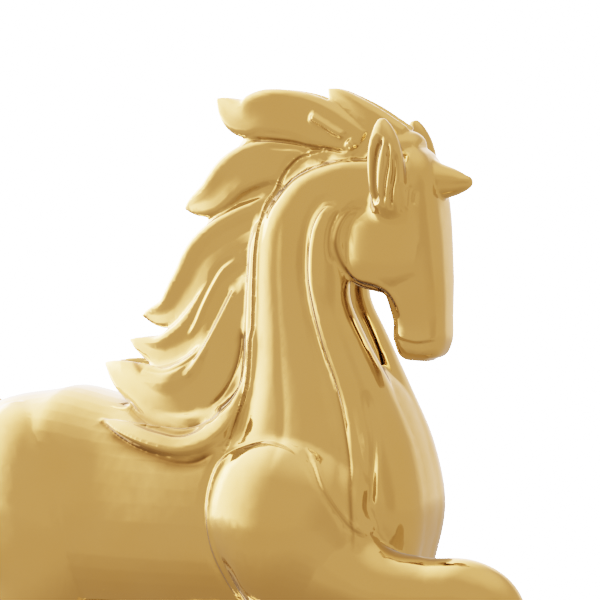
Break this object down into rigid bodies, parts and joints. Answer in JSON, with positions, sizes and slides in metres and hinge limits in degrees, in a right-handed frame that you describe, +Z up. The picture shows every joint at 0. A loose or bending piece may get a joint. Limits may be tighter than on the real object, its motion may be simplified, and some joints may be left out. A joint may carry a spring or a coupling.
{
  "type": "ceramic horse sculpture",
  "caption": "Gold-glazed ceramic horse with a flying mane and a raised foreleg, cast in one piece with a low round-ended plinth that rests on a shelf.",
  "frame": {"origin": "centre of the plinth's flat underside", "axes": "+Z up, +X the way the horse faces, +Y the horse's left side"},
  "size_m": [0.3181, 0.09, 0.3344],
  "materials": {
    "gold_glaze": "mirror-bright gold glaze over smooth ceramic"
  },
  "bodies": {
    "root": {"horse_sculpture": "gold_glaze"}
  },
  "joints": []
}
